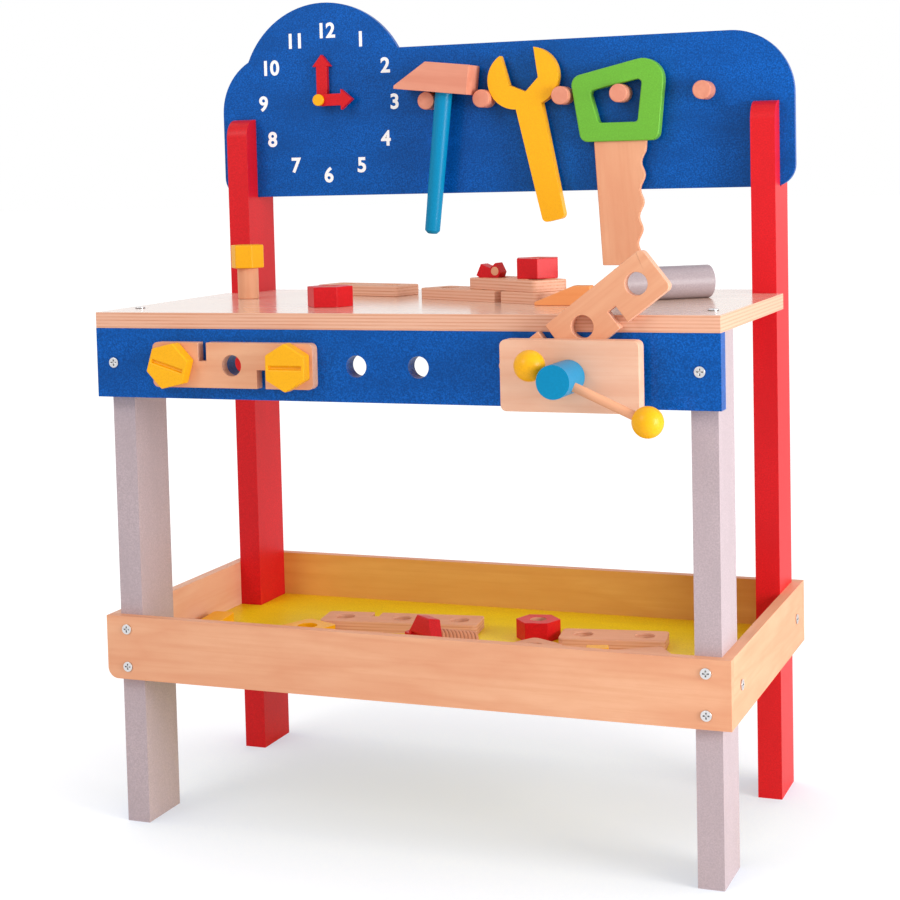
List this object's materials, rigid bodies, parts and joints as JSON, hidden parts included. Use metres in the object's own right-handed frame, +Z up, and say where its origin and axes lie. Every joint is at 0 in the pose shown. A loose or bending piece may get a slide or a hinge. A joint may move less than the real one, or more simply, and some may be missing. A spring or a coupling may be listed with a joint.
{
  "type": "toy workbench",
  "caption": "Wooden toy workbench with a tool board, clock, screw vise, hanging tools, storage tray and loose strips, nuts and bolts.",
  "frame": {"origin": "on the floor, at the centre of the bounding box's footprint", "axes": "+Z up, -Y towards the front of the bench (apron and vise), +X to the right seen from the front"},
  "size_m": [0.576, 0.3834, 0.7495],
  "materials": {
    "light_wood": "satin",
    "top_wood": "gloss",
    "blue_paint": "satin",
    "red_paint": "satin",
    "silver_paint": "satin",
    "yellow_paint": "satin",
    "bright_blue_paint": "satin",
    "green_paint": "satin",
    "orange_paint": "satin",
    "screw_metal": "satin"
  },
  "bodies": {
    "bench": {"left_front_leg": "silver_paint", "right_front_leg": "silver_paint", "left_back_post": "red_paint", "right_back_post": "red_paint", "tabletop": "top_wood", "front_apron": "blue_paint", "back_board": "blue_paint", "tray_front_rail": "light_wood", "tray_back_rail": "light_wood", "tray_left_rail": "light_wood", "tray_right_rail": "light_wood", "tray_floor": "yellow_paint", "tool_pegs": "light_wood", "tabletop_screws": "screw_metal", "apron_screws": "screw_metal", "tray_rail_screws": "screw_metal", "tray_side_screws": "screw_metal", "clock_pin": "yellow_paint"},
    "minute_hand": {"clock_minute_hand": "red_paint"},
    "hour_hand": {"clock_hour_hand": "red_paint"},
    "jaw": {"vise_jaw": "light_wood", "vise_guide_pins": "light_wood"},
    "vise_spindle": {"vise_screw": "light_wood", "vise_knob": "bright_blue_paint"},
    "handle": {"vise_handle": "light_wood", "vise_handle_balls": "yellow_paint"},
    "hammer": {"hammer_head": "light_wood", "hammer_handle": "bright_blue_paint"},
    "wrench_tool": {"wrench": "yellow_paint"},
    "saw": {"saw_handle": "green_paint", "saw_blade": "light_wood"},
    "front_strip": {"apron_strip": "light_wood"},
    "left_bolt": {"left_apron_bolt_head": "yellow_paint", "left_apron_bolt_shank": "light_wood"},
    "right_bolt": {"right_apron_bolt_head": "yellow_paint", "right_apron_bolt_shank": "light_wood"},
    "vise_strip": {"clamped_strip": "light_wood"},
    "standing_bolt": {"standing_bolt_head": "yellow_paint", "standing_bolt_shank": "light_wood"},
    "loose_table_nut": {"table_nut": "red_paint"},
    "loose_short_strip": {"table_short_strip": "light_wood"},
    "stack_lower": {"table_long_strip": "light_wood"},
    "stack_upper": {"table_upper_strip": "light_wood"},
    "stack_nut": {"stacked_nut": "red_paint"},
    "stack_wing_nut": {"wing_nut": "red_paint", "wing_nut_plug": "light_wood"},
    "loose_wedge": {"wedge_block": "orange_paint"},
    "loose_cylinder": {"grey_cylinder": "silver_paint"},
    "tray_piece_long_strip": {"tray_long_strip": "light_wood"},
    "tray_piece_bolt": {"tray_bolt_head": "red_paint", "tray_bolt_shank": "light_wood"},
    "tray_piece_small_nut": {"tray_small_nut": "red_paint"},
    "tray_piece_near_strip": {"tray_near_strip": "light_wood"},
    "tray_piece_nut": {"tray_nut": "red_paint"},
    "tray_piece_short_strip": {"tray_short_strip": "light_wood"},
    "tray_piece_plate": {"tray_plate": "light_wood"},
    "tray_piece_yellow_strip": {"yellow_strip": "yellow_paint"},
    "tray_piece_yellow_bar": {"yellow_bar": "yellow_paint"},
    "tray_piece_yellow_block": {"yellow_block": "yellow_paint"}
  },
  "joints": [
    {"name": "minute_hand_turn", "type": "hinge", "parent": "bench", "child": "minute_hand", "pos_m": [-0.1755, 0.1465, 0.6535], "axis": [0, -1, 0], "continuous": true},
    {"name": "hour_hand_turn", "type": "hinge", "parent": "bench", "child": "hour_hand", "pos_m": [-0.1755, 0.1399, 0.6535], "axis": [0, -1, 0], "continuous": true},
    {"name": "jaw_slide", "type": "slide", "parent": "bench", "child": "jaw", "axis": [0, -1, 0], "range_m": [0, 0.025]},
    {"name": "vise_screw_turn", "type": "hinge", "parent": "jaw", "child": "vise_spindle", "pos_m": [0.164, -0.125, 0.417], "axis": [0, -1, 0], "range_deg": [0, 1800]},
    {"name": "handle_slide", "type": "slide", "parent": "vise_spindle", "child": "handle", "axis": [-0.9135, 0, 0.4067], "range_m": [0, 0.0502]},
    {"name": "hammer_lift_off", "type": "slide", "parent": "bench", "child": "hammer", "axis": [0, -1, 0], "range_m": [0, 0.04]},
    {"name": "wrench_lift_off", "type": "slide", "parent": "bench", "child": "wrench_tool", "axis": [0, -1, 0], "range_m": [0, 0.03]},
    {"name": "saw_lift_off", "type": "slide", "parent": "bench", "child": "saw", "axis": [0, -1, 0], "range_m": [0, 0.03]},
    {"name": "front_strip_pull_off", "type": "slide", "parent": "bench", "child": "front_strip", "axis": [0, -1, 0], "range_m": [0, 0.05]},
    {"name": "left_bolt_turn", "type": "hinge", "parent": "front_strip", "child": "left_bolt", "pos_m": [-0.1975, -0.125, 0.4195], "axis": [0, -1, 0], "continuous": true},
    {"name": "right_bolt_turn", "type": "hinge", "parent": "front_strip", "child": "right_bolt", "pos_m": [-0.0855, -0.125, 0.4195], "axis": [0, -1, 0], "continuous": true},
    {"name": "vise_strip_pull_out", "type": "slide", "parent": "bench", "child": "vise_strip", "axis": [0.7934, 0, 0.6088], "range_m": [0, 0.105]},
    {"name": "standing_bolt_lift", "type": "slide", "parent": "bench", "child": "standing_bolt", "axis": [0, 0, 1], "range_m": [0, 0.04]},
    {"name": "loose_table_nut_lift", "type": "slide", "parent": "bench", "child": "loose_table_nut", "axis": [0, 0, 1], "range_m": [0, 0.04]},
    {"name": "loose_short_strip_lift", "type": "slide", "parent": "bench", "child": "loose_short_strip", "axis": [0, 0, 1], "range_m": [0, 0.04]},
    {"name": "stack_lower_lift", "type": "slide", "parent": "bench", "child": "stack_lower", "axis": [0, 0, 1], "range_m": [0, 0.03]},
    {"name": "stack_upper_lift", "type": "slide", "parent": "stack_lower", "child": "stack_upper", "axis": [0, 0, 1], "range_m": [0, 0.02]},
    {"name": "stack_nut_lift", "type": "slide", "parent": "stack_upper", "child": "stack_nut", "axis": [0, 0, 1], "range_m": [0, 0.02]},
    {"name": "stack_wing_nut_lift", "type": "slide", "parent": "stack_upper", "child": "stack_wing_nut", "axis": [0, 0, 1], "range_m": [0, 0.02]},
    {"name": "loose_wedge_lift", "type": "slide", "parent": "bench", "child": "loose_wedge", "axis": [0, 0, 1], "range_m": [0, 0.04]},
    {"name": "loose_cylinder_lift", "type": "slide", "parent": "bench", "child": "loose_cylinder", "axis": [0, 0, 1], "range_m": [0, 0.04]},
    {"name": "tray_piece_long_strip_lift", "type": "slide", "parent": "bench", "child": "tray_piece_long_strip", "axis": [0, 0, 1], "range_m": [0, 0.06]},
    {"name": "tray_piece_bolt_lift", "type": "slide", "parent": "bench", "child": "tray_piece_bolt", "axis": [0, 0, 1], "range_m": [0, 0.06]},
    {"name": "tray_piece_small_nut_lift", "type": "slide", "parent": "bench", "child": "tray_piece_small_nut", "axis": [0, 0, 1], "range_m": [0, 0.06]},
    {"name": "tray_piece_near_strip_lift", "type": "slide", "parent": "bench", "child": "tray_piece_near_strip", "axis": [0, 0, 1], "range_m": [0, 0.06]},
    {"name": "tray_piece_nut_lift", "type": "slide", "parent": "bench", "child": "tray_piece_nut", "axis": [0, 0, 1], "range_m": [0, 0.06]},
    {"name": "tray_piece_short_strip_lift", "type": "slide", "parent": "bench", "child": "tray_piece_short_strip", "axis": [0, 0, 1], "range_m": [0, 0.06]},
    {"name": "tray_piece_plate_lift", "type": "slide", "parent": "bench", "child": "tray_piece_plate", "axis": [0, 0, 1], "range_m": [0, 0.06]},
    {"name": "tray_piece_yellow_strip_lift", "type": "slide", "parent": "bench", "child": "tray_piece_yellow_strip", "axis": [0, 0, 1], "range_m": [0, 0.06]},
    {"name": "tray_piece_yellow_bar_lift", "type": "slide", "parent": "bench", "child": "tray_piece_yellow_bar", "axis": [0, 0, 1], "range_m": [0, 0.06]},
    {"name": "tray_piece_yellow_block_lift", "type": "slide", "parent": "bench", "child": "tray_piece_yellow_block", "axis": [0, 0, 1], "range_m": [0, 0.06]}
  ],
  "couplings": [
    {"joint": "vise_screw_turn", "follows": "jaw_slide", "rad_per_m": 1256}
  ]
}
